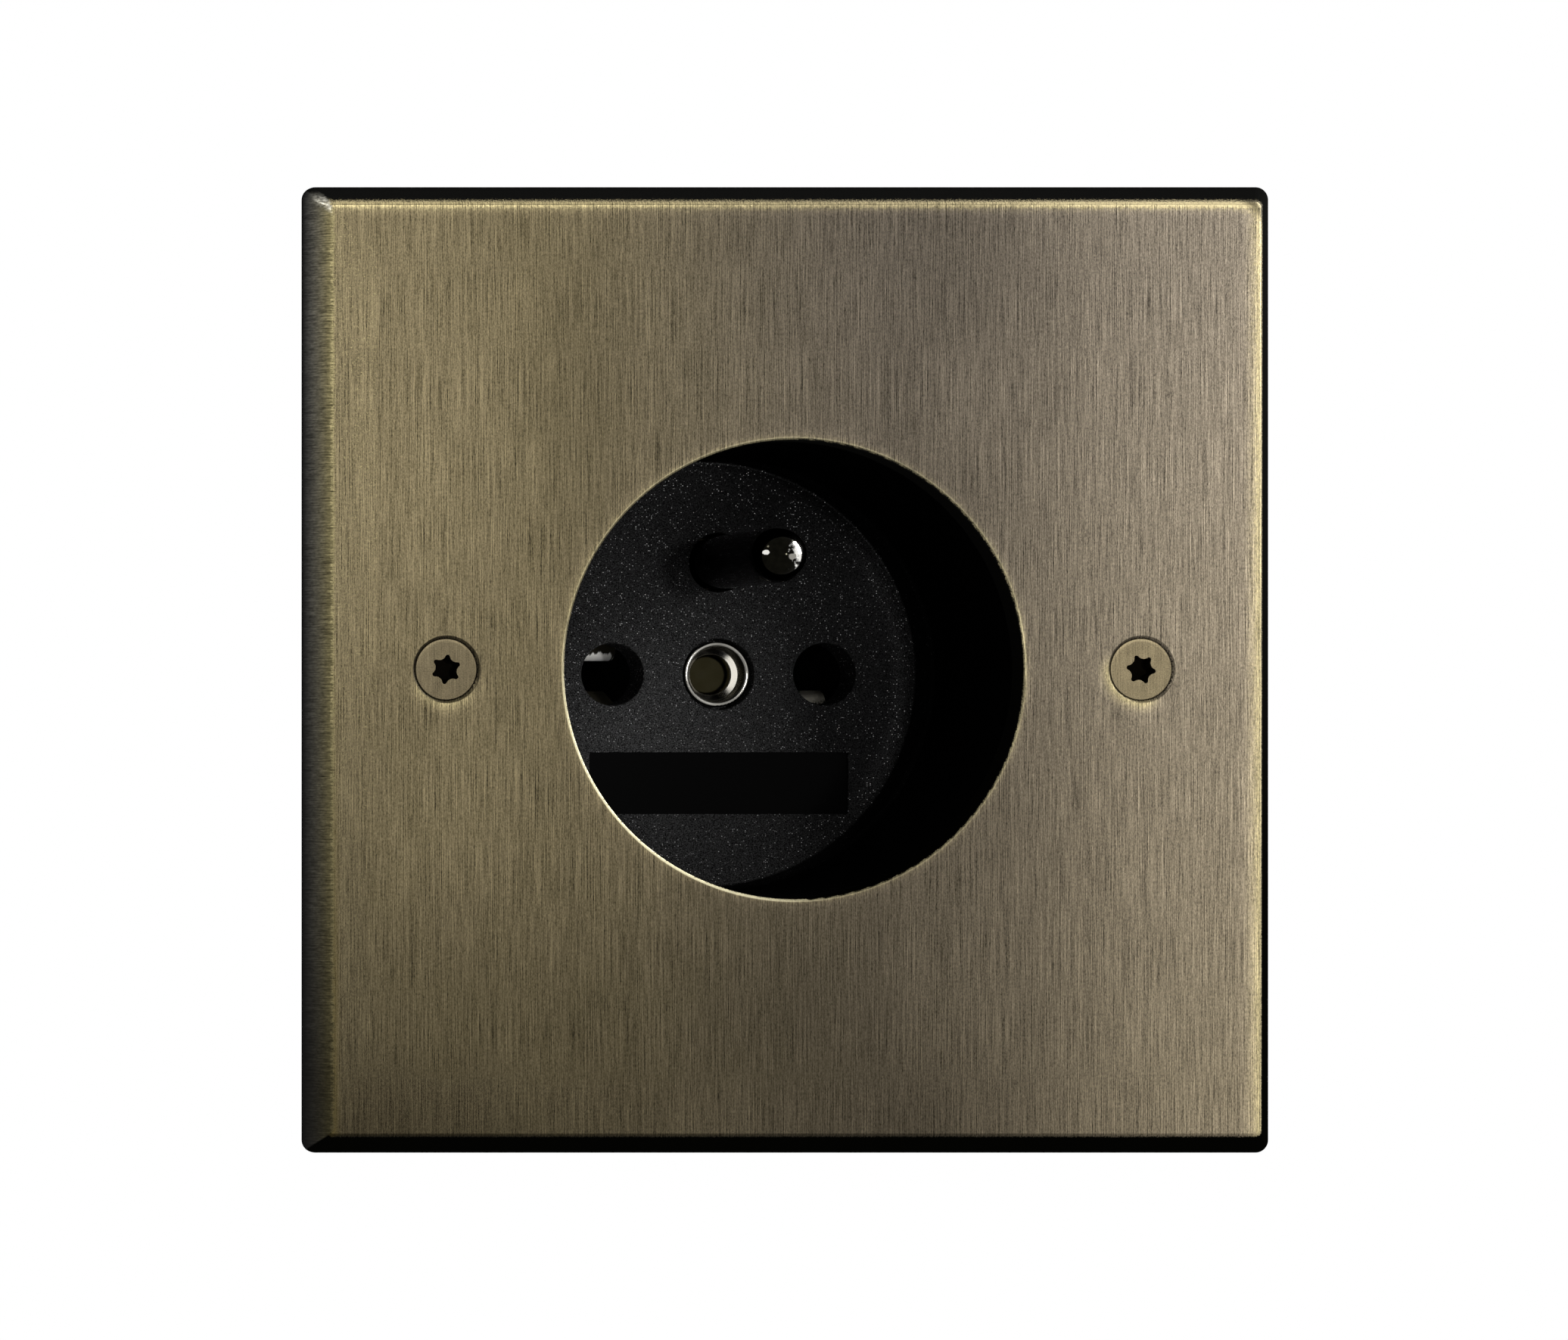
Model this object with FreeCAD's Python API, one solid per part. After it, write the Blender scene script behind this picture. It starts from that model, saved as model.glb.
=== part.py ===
import FreeCAD, Part
import math
import os

# A wall socket for plugs with two round pins and an earth hole, behind a square metal plate.
# X runs to the right, Z runs up, and Y runs from the room into the wall.
# The origin is the centre of the opening, on the surface of the wall. Sizes are in millimetres.

# Cover plate
plate_width = 83.7
plate_thickness = 2.0
plate_corner = 1.1
bevel_width = 1.6
bevel_land = 0.25
face_corner = 0.5
arris_radius = 0.45
opening_diameter = 39.6
opening_arris = 0.2

# Plate screws: countersunk, with a six-lobe recess
screw_spacing = 60.0
screw_diameter = 3.0
screw_length = 9.5
screw_head_diameter = 5.3
screw_head_land = 0.08
screw_head_edge = 0.06
seat_diameter = 5.8
seat_edge = 0.1
screw_hole_diameter = 3.4
lobe_count = 6
lobe_across = 2.55
lobe_waist = 1.84
lobe_tip = 0.2
lobe_depth = 1.1
left_lobe_angle = 82.7
right_lobe_angle = 51.6

# Fits
thread_clearance = 0.05
slip_clearance = 0.15
seat_clearance = 0.03

# Support ring, let into the wall box behind the plate
box_spacing = 60.0
box_hole_diameter = 3.8
ring_setback = 2.2
ring_thickness = 1.2
ring_margin = 3.0
ring_notch_width = 7.0
ring_notch_depth = 1.6
standoff_flats = 6.0
standoff_neck_diameter = 4.2
standoff_tail = 2.0

# Socket insert: the round dish that takes the plug
recess_depth = 15.0
recess_draft = 0.5
dish_wall = 1.4
dish_lip = 0.15
floor_thickness = 3.0
floor_fillet = 0.4
dish_back_radius = 0.8
flange_thickness = 2.0
hole_spacing = 19.0
hole_diameter = 5.6
hole_edge = 0.1
field_width = 23.2
field_height = 5.54
field_drop = 7.0
field_depth = 0.2
field_corner = 0.15

# Earth pin
pin_diameter = 4.8
pin_length = 14.0
pin_rise = 10.0
pin_hole_diameter = 5.3
pin_neck_diameter = 4.4
pin_flange_diameter = 8.0
pin_flange_thickness = 1.2
pin_tail_diameter = 3.4
rivet_head_diameter = 5.0
rivet_head_thickness = 0.7

# Centre bush and the screw that draws it home
bush_rim_diameter = 5.9
bush_rim_radius = 0.2
bush_hole_diameter = 6.4
bush_sunk = 0.3
bush_seat_depth = 1.6
bush_tube_diameter = 5.0
bush_tube_length = 9.4
bush_bore_diameter = 3.6
bush_mouth_wall = 0.45
bush_funnel_depth = 1.6
centre_screw_depth = 2.6
centre_head_diameter = 5.6
centre_head_thickness = 1.1
slot_width = 0.8
slot_depth = 0.6

# Rear housing
housing_gap = 0.2
housing_wall = 1.6
housing_corner = 7.0
housing_back_radius = 1.5
rear_wall = 2.0
plug_pin_length = 19.0
end_room = 3.0
post_diameter = 9.0
rib_thickness = 1.2
rib_overlap = 0.2
earth_rib_height = 11.5
cradle_room = 0.4
cradle_depth = 8.0
pocket_depth = 0.6
pocket_width = 5.0
pocket_height = 26.0
pocket_gap = 3.0
hood_width = 11.2
hood_height = 6.4
hood_corner = 1.5
hood_rise = 1.2
gauge_length = 12.0
gauge_width = 2.0
gauge_depth = 0.4
gauge_drop = 8.0

# Screws that join ring, insert and housing, in the housing's corners
joining_inset = 3.7
joining_screw_diameter = 2.9
joining_hole_diameter = 3.3
joining_screw_length = 12.0
joining_head_diameter = 5.5
joining_head_thickness = 1.8
joining_head_edge = 0.7
cross_width = 0.7
cross_span = 3.0
cross_depth = 0.9
boss_diameter = 6.5
boss_length = 13.6
boss_bore_length = 11.0

# Contacts and the earth strap, bent from strip
strip_thickness = 0.7
bend_radius = 1.0
leaf_width = 4.0
leaf_start = 1.2
broad_lip_length = 0.8
broad_lip_bend = 0.9
guide_lip_length = 3.0
lip_opening = 6.2
pinch_opening = 3.3
root_opening = 6.0
pinch_bend = 2.0
tail_offset = 4.5
tail_width = 3.2
strap_width = 6.0
strap_overhang = 3.6

# Terminals: a cage that a screw draws onto the strip and the wire
cage_gap = 1.15
cage_side_gap = 2.7
cage_width = 9.4
cage_wall = 1.2
cage_screw_wall = 1.5
cage_room = 4.9
cage_length = 7.0
cage_corner = 0.8
cage_setback = 4.5
tail_overhang = 1.0
clamp_diameter = 3.4
clamp_head_diameter = 5.2
clamp_head_thickness = 2.0
clamp_head_gap = 0.15
clamp_reach = 0.9
clamp_access_diameter = 5.9
wire_hole_diameter = 3.5
wire_hole_spacing = 3.8
wire_funnel = 0.5

# Places that follow from the sizes above
face_y = -plate_thickness
opening_radius = opening_diameter / 2
floor_radius = opening_radius - recess_draft
ring_front = ring_setback
ring_back = ring_front + ring_thickness
collar_radius = opening_radius + dish_wall
flange_back = ring_back + flange_thickness
floor_y = face_y + recess_depth
floor_back = floor_y + floor_thickness
contact_x = hole_spacing / 2
terminal_x = contact_x + tail_offset
inner_half = max(collar_radius + housing_gap, terminal_x + cage_width / 2 + cage_side_gap)
housing_half = inner_half + housing_wall
housing_end = floor_y + plug_pin_length + end_room
housing_back = housing_end + rear_wall
hood_back = housing_back + hood_rise
joining_offset = inner_half - joining_inset
ring_radius = max(screw_spacing / 2, box_spacing / 2, joining_offset * math.sqrt(2)) + ring_margin
strip_half = strip_thickness / 2
leaf_front = floor_back + leaf_start
base_y = housing_end - strip_half
flange_end = floor_back + pin_flange_thickness
strap_y = flange_end + strip_half
strap_end = flange_end + strip_thickness
cage_outer = inner_half - cage_gap
cage_seat = cage_outer - cage_screw_wall - cage_room
cage_inner = cage_seat - cage_wall
terminal_height = cage_seat + strip_half
cage_back = housing_end - cage_setback
cage_front = cage_back - cage_length
clamp_y = cage_front + cage_length / 2
wire_height = terminal_height + strip_half + (cage_room - strip_thickness) / 2
bush_front = floor_y + bush_sunk
bush_seat = floor_y + bush_seat_depth
bush_end = bush_seat + bush_tube_length
centre_seat = housing_back - centre_head_thickness - slip_clearance

ORIGIN = FreeCAD.Vector(0, 0, 0)
INTO_WALL = FreeCAD.Vector(0, 1, 0)
UP = FreeCAD.Vector(0, 0, 1)
PAST = 1.0


def rounded_edges(corners, place):
    """The closed outline through (u, v, radius) corners, each turned on its own radius."""
    points = [FreeCAD.Vector(u, v, 0) for u, v, radius in corners]
    turns = []
    for index, (u, v, radius) in enumerate(corners):
        corner = points[index]
        if radius == 0:
            turns.append((corner, None, corner))
            continue
        before = (points[index - 1] - corner).normalize()
        after = (points[(index + 1) % len(points)] - corner).normalize()
        inward = (before + after).normalize()
        half_angle = before.getAngle(after) / 2
        reach = radius / math.tan(half_angle)
        middle = corner + inward * (radius / math.sin(half_angle) - radius)
        turns.append((corner + before * reach, middle, corner + after * reach))
    edges = []
    for index, (enter, middle, leave) in enumerate(turns):
        last = turns[index - 1][2]
        if last.distanceToPoint(enter) > 1e-6:
            edges.append(Part.makeLine(place(last), place(enter)))
        if middle is not None:
            edges.append(Part.Arc(place(enter), place(middle), place(leave)).toShape())
    return edges


def outline_face(corners, place):
    return Part.Face(Part.Wire(rounded_edges(corners, place)))


def turned(corners, x=0, z=0):
    """A piece turned about an axis along Y, from the (radius, y, rounding) corners of half its section."""
    section = outline_face(corners, lambda p: FreeCAD.Vector(p.x, p.y, 0))
    piece = section.revolve(ORIGIN, INTO_WALL, 360)
    piece.translate(FreeCAD.Vector(x, 0, z))
    return piece


def rod(diameter, start, end, x=0, z=0):
    return Part.makeCylinder(diameter / 2, end - start, FreeCAD.Vector(x, start, z), INTO_WALL)


def rectangle(half_x, half_z, corner, y, x=0, z=0):
    """The wire of a rectangle that faces the room, with rounded corners."""
    corners = [(x + side_x * half_x, z + side_z * half_z, corner)
               for side_x, side_z in ((-1, -1), (1, -1), (1, 1), (-1, 1))]
    return Part.Wire(rounded_edges(corners, lambda p: FreeCAD.Vector(p.x, y, p.y)))


def slab(half_x, half_z, corner, start, end, x=0, z=0):
    face = Part.Face(rectangle(half_x, half_z, corner, start, x, z))
    return face.extrude(INTO_WALL * (end - start))


def mouth_cutter(diameter, edge, front, end, x=0, z=0):
    """Cuts a round hole from the plane y = front, and rounds its edge there."""
    radius = diameter / 2
    wide = radius + edge + PAST
    corners = [(0, front - PAST, 0), (wide, front - PAST, 0), (wide, front, 0), (radius, front, edge),
               (radius, end, 0), (0, end, 0)]
    return turned(corners, x, z)


def bent_strip(path, left, right):
    """Metal strip of even thickness, bent along (y, z, bend radius) corners, from x = left to right."""
    points = [FreeCAD.Vector(y, z, 0) for y, z, radius in path]
    runs = [(points[i + 1] - points[i]).normalize() for i in range(len(points) - 1)]
    sides = {1: [], -1: []}
    for index, point in enumerate(points):
        before = runs[max(index - 1, 0)]
        after = runs[min(index, len(runs) - 1)]
        across_before = FreeCAD.Vector(-before.y, before.x, 0)
        across_after = FreeCAD.Vector(-after.y, after.x, 0)
        mitre = (across_before + across_after) * (strip_half / (1 + across_before.dot(across_after)))
        turn = math.copysign(1, before.cross(after).z)
        radius = path[index][2]
        for side in sides:
            place = point + mitre * side
            rounding = radius - side * turn * strip_half if radius else 0
            sides[side].append((place.x, place.y, rounding))
    corners = sides[1] + sides[-1][::-1]
    face = outline_face(corners, lambda p: FreeCAD.Vector(left, p.x, p.y))
    return face.extrude(FreeCAD.Vector(right - left, 0, 0))


def six_lobe(angle, start, end, x):
    """The prism of a six-lobe recess: rounded tips joined by hollows that run smoothly into them."""
    tip_centre = lobe_across / 2 - lobe_tip
    waist = lobe_waist / 2
    half_step = 180 / lobe_count
    lean = math.cos(math.radians(half_step))
    hollow = (tip_centre ** 2 + waist ** 2 - 2 * tip_centre * waist * lean - lobe_tip ** 2)
    hollow = hollow / (2 * (lobe_tip - waist + tip_centre * lean))

    def polar(radius, degrees):
        turn = math.radians(degrees)
        return FreeCAD.Vector(x + radius * math.cos(turn), start, radius * math.sin(turn))

    def touch(tip_angle, hollow_angle):
        tip = polar(tip_centre, tip_angle)
        return tip + (polar(waist + hollow, hollow_angle) - tip).normalize() * lobe_tip

    edges = []
    for lobe in range(lobe_count):
        at = angle + 2 * half_step * lobe
        begin = touch(at, at - half_step)
        leave = touch(at, at + half_step)
        arrive = touch(at + 2 * half_step, at + half_step)
        edges.append(Part.Arc(begin, polar(lobe_across / 2, at), leave).toShape())
        edges.append(Part.Arc(leave, polar(waist, at + half_step), arrive).toShape())
    return Part.Face(Part.Wire(edges)).extrude(INTO_WALL * (end - start))


def cover_plate():
    half = plate_width / 2
    face_half = half - bevel_width
    edge_band = slab(half, half, plate_corner, -bevel_land, 0)
    bevel = Part.makeLoft([rectangle(half, half, plate_corner, -bevel_land),
                           rectangle(face_half, face_half, face_corner, face_y)], True, True)
    plate = edge_band.fuse(bevel).removeSplitter()
    arris = [edge for edge in plate.Edges if max(abs(v.Y - face_y) for v in edge.Vertexes) < 1e-4]
    plate = plate.makeFillet(arris_radius, arris)
    plate = plate.cut(mouth_cutter(opening_diameter, opening_arris, face_y, PAST))
    for x in (-screw_spacing / 2, screw_spacing / 2):
        plate = plate.cut(screw_seat_cutter(x))
    return plate


def screw_seat_cutter(x):
    """The countersink of a plate screw, with its clearance hole."""
    seat = seat_diameter / 2
    hole = screw_hole_diameter / 2
    wide = seat + PAST
    corners = [(0, face_y - PAST, 0), (wide, face_y - PAST, 0), (wide, face_y, 0), (seat, face_y, seat_edge),
               (hole, face_y + seat - hole, 0), (hole, PAST, 0), (0, PAST, 0)]
    return turned(corners, x)


def plate_screw(x, angle):
    head = screw_head_diameter / 2
    shank = screw_diameter / 2 - thread_clearance
    cone_start = face_y + seat_diameter / 2 - head - seat_clearance
    top = cone_start - screw_head_land
    end = top + screw_length
    corners = [(0, top, 0), (head, top, screw_head_edge), (head, cone_start, 0),
               (shank, cone_start + head - shank, 0), (shank, end, 0.3), (0, end, 0)]
    return turned(corners, x).cut(six_lobe(angle, top - PAST, top + lobe_depth, x))


def standoff(x):
    """A hexagonal threaded standoff, riveted into the ring by its neck."""
    corner = standoff_flats / math.sqrt(3)
    turns = [math.radians(60 * step) for step in range(7)]
    points = [FreeCAD.Vector(x + corner * math.cos(turn), 0, corner * math.sin(turn)) for turn in turns]
    body = Part.Face(Part.makePolygon(points)).extrude(INTO_WALL * ring_front)
    neck = rod(standoff_neck_diameter, ring_front, ring_back + standoff_tail, x)
    return body.fuse(neck).cut(rod(screw_diameter, -PAST, ring_back + standoff_tail + PAST, x))


def support_ring():
    ring = rod(2 * ring_radius, ring_front, ring_back)
    ring = ring.cut(rod(2 * (collar_radius + slip_clearance), ring_front - PAST, ring_back + PAST))
    for side in (-1, 1):
        place = side * screw_spacing / 2
        neck_hole = standoff_neck_diameter + 2 * thread_clearance
        ring = ring.cut(rod(neck_hole, ring_front - PAST, ring_back + PAST, place))
        ring = ring.cut(rod(box_hole_diameter, ring_front - PAST, ring_back + PAST, 0, side * box_spacing / 2))
    for x, z in joining_places():
        ring = ring.cut(rod(joining_hole_diameter, ring_front - PAST, ring_back + PAST, x, z))
        ring = ring.cut(ring_notch(math.degrees(math.atan2(z, x))))
    return ring


def ring_notch(angle):
    """A shallow notch in the ring's rim that clears the round wall box's corner posts."""
    middle = ring_radius + PAST
    notch = slab(ring_notch_depth + PAST, ring_notch_width / 2, ring_notch_depth / 2,
                 ring_front - PAST, ring_back + PAST, middle)
    notch.rotate(ORIGIN, INTO_WALL, -angle)
    return notch


def joining_places():
    return [(side_x * joining_offset, side_z * joining_offset) for side_x in (-1, 1) for side_z in (-1, 1)]


def joining_screw(x, z):
    """A pan-head screw with a cross recess, through ring and flange into the housing's boss."""
    head = joining_head_diameter / 2
    shank = joining_screw_diameter / 2
    top = ring_front - joining_head_thickness
    end = ring_front + joining_screw_length
    corners = [(0, top, 0), (head, top, joining_head_edge), (head, ring_front, 0), (shank, ring_front, 0),
               (shank, end - shank, 0), (0, end, 0)]
    screw = turned(corners, x, z)
    for span_x, span_z in ((cross_span, cross_width), (cross_width, cross_span)):
        corner = FreeCAD.Vector(x - span_x / 2, top, z - span_z / 2)
        screw = screw.cut(Part.makeBox(span_x, cross_depth, span_z, corner))
    return screw


def socket_insert():
    """One moulding: a round dish with a square flange that carries it behind the ring."""
    back_radius = floor_radius + dish_wall
    dish = turned([(opening_radius, 0, dish_lip), (floor_radius, floor_y, floor_fillet), (0, floor_y, 0),
                   (0, floor_back, 0), (back_radius, floor_back, dish_back_radius),
                   (collar_radius, flange_back, 0), (collar_radius, 0, dish_lip)])
    flange = slab(housing_half, housing_half, housing_corner, ring_back, flange_back)
    flange = flange.cut(rod(opening_diameter + dish_wall, ring_back - PAST, flange_back + PAST))
    insert = dish.fuse(flange).removeSplitter()
    for x in (-contact_x, contact_x):
        insert = insert.cut(mouth_cutter(hole_diameter, hole_edge, floor_y, floor_back + PAST, x))
    insert = insert.cut(mouth_cutter(pin_hole_diameter, hole_edge, floor_y, floor_back + PAST, 0, pin_rise))
    insert = insert.cut(mouth_cutter(bush_hole_diameter, hole_edge, floor_y, bush_seat))
    insert = insert.cut(rod(bush_tube_diameter + 2 * thread_clearance, floor_y, floor_back + PAST))
    field_z = -field_drop - field_height / 2
    insert = insert.cut(slab(field_width / 2, field_height / 2, field_corner, floor_y - PAST,
                             floor_y + field_depth, 0, field_z))
    for x, z in joining_places():
        insert = insert.cut(rod(joining_hole_diameter, ring_back - PAST, flange_back + PAST, x, z))
    return insert


def earth_pin():
    """A round pin with a domed end, held behind the floor by its flange and riveted to the strap."""
    radius = pin_diameter / 2
    tip = floor_y - pin_length
    neck = pin_neck_diameter / 2
    tail = pin_tail_diameter / 2
    corners = [(0, floor_y, 0), (neck, floor_y, 0), (neck, floor_back, 0),
               (pin_flange_diameter / 2, floor_back, 0), (pin_flange_diameter / 2, flange_end, 0.2),
               (tail, flange_end, 0), (tail, strap_end, 0), (rivet_head_diameter / 2, strap_end, 0),
               (rivet_head_diameter / 2, strap_end + rivet_head_thickness, rivet_head_thickness / 2),
               (0, strap_end + rivet_head_thickness, 0)]
    root = turned(corners, 0, pin_rise)
    shaft = rod(pin_diameter, tip + radius, floor_y, 0, pin_rise)
    dome = Part.makeSphere(radius, FreeCAD.Vector(0, tip + radius, pin_rise))
    return shaft.fuse([dome, root]).removeSplitter()


def centre_bush():
    """A tube with a rolled rim, whose mouth narrows in a funnel to the bore."""
    rim = bush_rim_diameter / 2
    tube = bush_tube_diameter / 2
    bore = bush_bore_diameter / 2
    mouth = rim - bush_mouth_wall
    waist = (mouth + tube - bush_mouth_wall / 2) / 2
    throat = floor_y + bush_funnel_depth
    corners = [(rim, bush_front, bush_rim_radius), (rim, bush_seat, 0), (tube, bush_seat, 0),
               (tube, bush_end, 0), (bore, bush_end, 0), (bore, throat + bush_rim_radius, bush_rim_radius),
               (waist, throat - bush_rim_radius, bush_rim_radius), (mouth, bush_front, bush_rim_radius)]
    return turned(corners)


def centre_screw():
    """Enters from the back of the housing and ends just below the throat of the bush."""
    shank = bush_bore_diameter / 2 - thread_clearance
    head = centre_head_diameter / 2
    back = centre_seat + centre_head_thickness
    corners = [(0, floor_y + centre_screw_depth, 0), (shank, floor_y + centre_screw_depth, 0.2),
               (shank, centre_seat, 0), (head, centre_seat, 0), (head, back, 0.3), (0, back, 0)]
    slot = Part.makeBox(2 * centre_head_diameter, slot_depth + PAST, slot_width,
                        FreeCAD.Vector(-centre_head_diameter, back - slot_depth, -slot_width / 2))
    return turned(corners).cut(slot)


def rear_housing():
    """The moulded cup that holds the contacts, with bosses, ribs and the holes for the wires."""
    shell = slab(housing_half, housing_half, housing_corner, flange_back, housing_back)
    rim = [edge for edge in shell.Edges if min(v.Y for v in edge.Vertexes) > housing_back - 1e-4]
    shell = shell.makeFillet(housing_back_radius, rim)
    inner_corner = housing_corner - housing_wall
    shell = shell.cut(slab(inner_half, inner_half, inner_corner, flange_back - PAST, housing_end))
    inside = [rod(post_diameter, floor_back, housing_end + rib_overlap)]
    inside += [rod(boss_diameter, flange_back, flange_back + boss_length, x, z) for x, z in joining_places()]
    inside += partition_ribs() + cradle_ribs() + wire_hoods()
    shell = shell.fuse(inside).removeSplitter()
    for x, z in joining_places():
        shell = shell.cut(rod(joining_screw_diameter, flange_back - PAST, flange_back + boss_bore_length, x, z))
    shell = shell.cut(rod(bush_tube_diameter + 2 * thread_clearance, floor_back - PAST, bush_end + slip_clearance))
    shell = shell.cut(rod(bush_bore_diameter, floor_back, housing_back + PAST))
    shell = shell.cut(rod(centre_head_diameter + 4 * slip_clearance, centre_seat, housing_back + PAST))
    for x, side in terminal_places():
        shell = shell.cut(clamp_access(x, side))
        for step in (-1, 1):
            shell = shell.cut(wire_hole(x + step * wire_hole_spacing / 2, side * wire_height))
    for pocket in side_pockets():
        shell = shell.cut(pocket)
    return shell.cut(strip_gauge())


def partition_ribs():
    """Walls on both sides of the centre post, which part the two contacts from the earth strap."""
    inner = post_diameter / 2 - rib_overlap
    low = -inner_half - rib_overlap
    length = housing_end + rib_overlap - floor_back
    ribs = []
    for left in (-inner - rib_thickness, inner):
        corner = FreeCAD.Vector(left, floor_back, low)
        ribs.append(Part.makeBox(rib_thickness, length, earth_rib_height - low, corner))
    return ribs


def cradle_ribs():
    """Ribs above and below the root of each contact. The lower one stops short of the tail."""
    near = post_diameter / 2 - rib_overlap + rib_thickness / 2
    wall = inner_half + rib_overlap
    tail_edge = contact_x + leaf_width / 2 - slip_clearance
    edge = root_opening / 2 + strip_half + cradle_room
    start = housing_end - cradle_depth
    ribs = []
    for side in (-1, 1):
        for far, low in ((wall, edge), (tail_edge, -edge - rib_thickness)):
            left = near if side > 0 else -far
            corner = FreeCAD.Vector(left, start, low)
            ribs.append(Part.makeBox(far - near, cradle_depth + rib_overlap, rib_thickness, corner))
    return ribs


def wire_hoods():
    """Raised pads on the back, round the two wire holes of each terminal."""
    return [slab(hood_width / 2, hood_height / 2, hood_corner, housing_back - rib_overlap, hood_back,
                 x, side * wire_height) for x, side in terminal_places()]


def strip_gauge():
    """A shallow groove as long as the bare end of a wire, to measure the wire against."""
    return slab(gauge_length / 2, gauge_width / 2, gauge_width / 4, housing_back - gauge_depth,
                housing_back + PAST, 0, -gauge_drop)


def terminal_places():
    """The x of each terminal, and the side of the housing that its screw is turned from."""
    return [(-terminal_x, -1), (terminal_x, -1), (0, 1)]


def clamp_access(x, side):
    base = FreeCAD.Vector(x, clamp_y, side * (inner_half - PAST))
    return Part.makeCylinder(clamp_access_diameter / 2, housing_wall + 2 * PAST, base, UP * side)


def wire_hole(x, z):
    """A hole for one wire, opened out at the back so that the strands find their way in."""
    radius = wire_hole_diameter / 2
    corners = [(0, housing_end - PAST, 0), (radius, housing_end - PAST, 0), (radius, hood_back - wire_funnel, 0),
               (radius + wire_funnel, hood_back, 0), (radius + wire_funnel, hood_back + PAST, 0),
               (0, hood_back + PAST, 0)]
    return turned(corners, x, z)


def side_pockets():
    """Shallow upright pockets in the left and right walls, which keep the wall even in the mould."""
    middle_y = (flange_back + housing_back) / 2
    pockets = []
    for side in (-1, 1):
        for step in (-1, 0, 1):
            y = middle_y + step * (pocket_width + pocket_gap) - pocket_width / 2
            left = min(side * housing_half, side * (housing_half - pocket_depth))
            corner = FreeCAD.Vector(left, y, -pocket_height / 2)
            pockets.append(Part.makeBox(pocket_depth, pocket_width, pocket_height, corner))
    return pockets


def contact(side):
    """Two sprung leaves that grip a plug's pin, with a tail beside them that runs to the terminal.

    The upper leaf on the left and the lower one on the right have a broad lip, turned almost square
    to the pin. The other leaf opens out more gently.
    """
    lip = lip_opening / 2
    pinch = pinch_opening / 2
    root = root_opening / 2
    broad = (leaf_front + broad_lip_length, -side * pinch, broad_lip_bend)
    guide = (leaf_front + guide_lip_length, side * pinch, pinch_bend)
    leaves = bent_strip([(leaf_front, -side * lip, 0), broad, (base_y, -side * root, bend_radius),
                         (base_y, side * root, bend_radius), guide, (leaf_front, side * lip, 0)],
                        contact_x - leaf_width / 2, contact_x + leaf_width / 2)
    tail = bent_strip([(base_y, root - bend_radius, 0), (base_y, -terminal_height, bend_radius),
                       (cage_front - tail_overhang, -terminal_height, 0)],
                      contact_x + leaf_width / 2, terminal_x + tail_width / 2)
    piece = leaves.fuse(tail).removeSplitter()
    if side < 0:
        piece = piece.mirror(ORIGIN, FreeCAD.Vector(1, 0, 0))
    return piece


def earth_strap():
    """Runs from the riveted end of the earth pin up to the earth terminal."""
    half = strap_width / 2
    strap = bent_strip([(strap_y, pin_rise - strap_overhang, 0), (strap_y, terminal_height, bend_radius),
                        (cage_back, terminal_height, 0)], -half, half)
    return strap.cut(rod(pin_tail_diameter, flange_end - PAST, strap_end + PAST, 0, pin_rise))


def terminal_cage(x, side):
    middle = side * (cage_inner + cage_outer) / 2
    half_height = (cage_outer - cage_inner) / 2
    cage = slab(cage_width / 2, half_height, cage_corner, cage_front, cage_back, x, middle)
    window_middle = side * (cage_seat + cage_room / 2)
    cage = cage.cut(slab(cage_width / 2 - cage_wall, cage_room / 2, cage_corner / 2, cage_front - PAST,
                         cage_back + PAST, x, window_middle))
    start = FreeCAD.Vector(x, clamp_y, side * (cage_outer - cage_screw_wall - PAST))
    radius = clamp_diameter / 2 + thread_clearance
    return cage.cut(Part.makeCylinder(radius, cage_screw_wall + 2 * PAST, start, UP * side))


def terminal_screw(x, side):
    """A slotted screw that presses on the wire. Its head stands in the housing's access hole."""
    head = clamp_head_diameter / 2
    shank = clamp_diameter / 2
    under = cage_outer + clamp_head_gap
    end = cage_outer - cage_screw_wall - clamp_reach
    top = under + clamp_head_thickness
    corners = [(0, end, 0), (shank, end, 0.3), (shank, under, 0), (head, under, 0), (head, top, 0.3), (0, top, 0)]
    section = outline_face(corners, lambda p: FreeCAD.Vector(p.x, 0, p.y))
    screw = section.revolve(ORIGIN, UP, 360)
    slot = Part.makeBox(2 * clamp_head_diameter, slot_width, slot_depth + PAST,
                        FreeCAD.Vector(-clamp_head_diameter, -slot_width / 2, top - slot_depth))
    screw = screw.cut(slot)
    if side < 0:
        screw = screw.mirror(ORIGIN, UP)
    screw.translate(FreeCAD.Vector(x, clamp_y, 0))
    return screw


def socket_parts():
    parts = {
        "cover_plate": cover_plate(),
        "plate_screw_left": plate_screw(-screw_spacing / 2, left_lobe_angle),
        "plate_screw_right": plate_screw(screw_spacing / 2, right_lobe_angle),
        "standoff_left": standoff(-screw_spacing / 2),
        "standoff_right": standoff(screw_spacing / 2),
        "support_ring": support_ring(),
        "socket_insert": socket_insert(),
        "earth_pin": earth_pin(),
        "centre_bush": centre_bush(),
        "centre_screw": centre_screw(),
        "rear_housing": rear_housing(),
        "contact_left": contact(-1),
        "contact_right": contact(1),
        "earth_strap": earth_strap(),
    }
    for name, (x, side) in zip(("left", "right", "earth"), terminal_places()):
        parts["terminal_cage_" + name] = terminal_cage(x, side)
        parts["terminal_screw_" + name] = terminal_screw(x, side)
    for name, (x, z) in zip(("lower_left", "upper_left", "lower_right", "upper_right"), joining_places()):
        parts["joining_screw_" + name] = joining_screw(x, z)
    return parts


os.makedirs("parts", exist_ok=True)
for node, shape in socket_parts().items():
    shape.exportStep("parts/" + node + ".step")
    print(node, "solids", len(shape.Solids), "valid", shape.isValid(), "volume", round(shape.Volume, 1))
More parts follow.
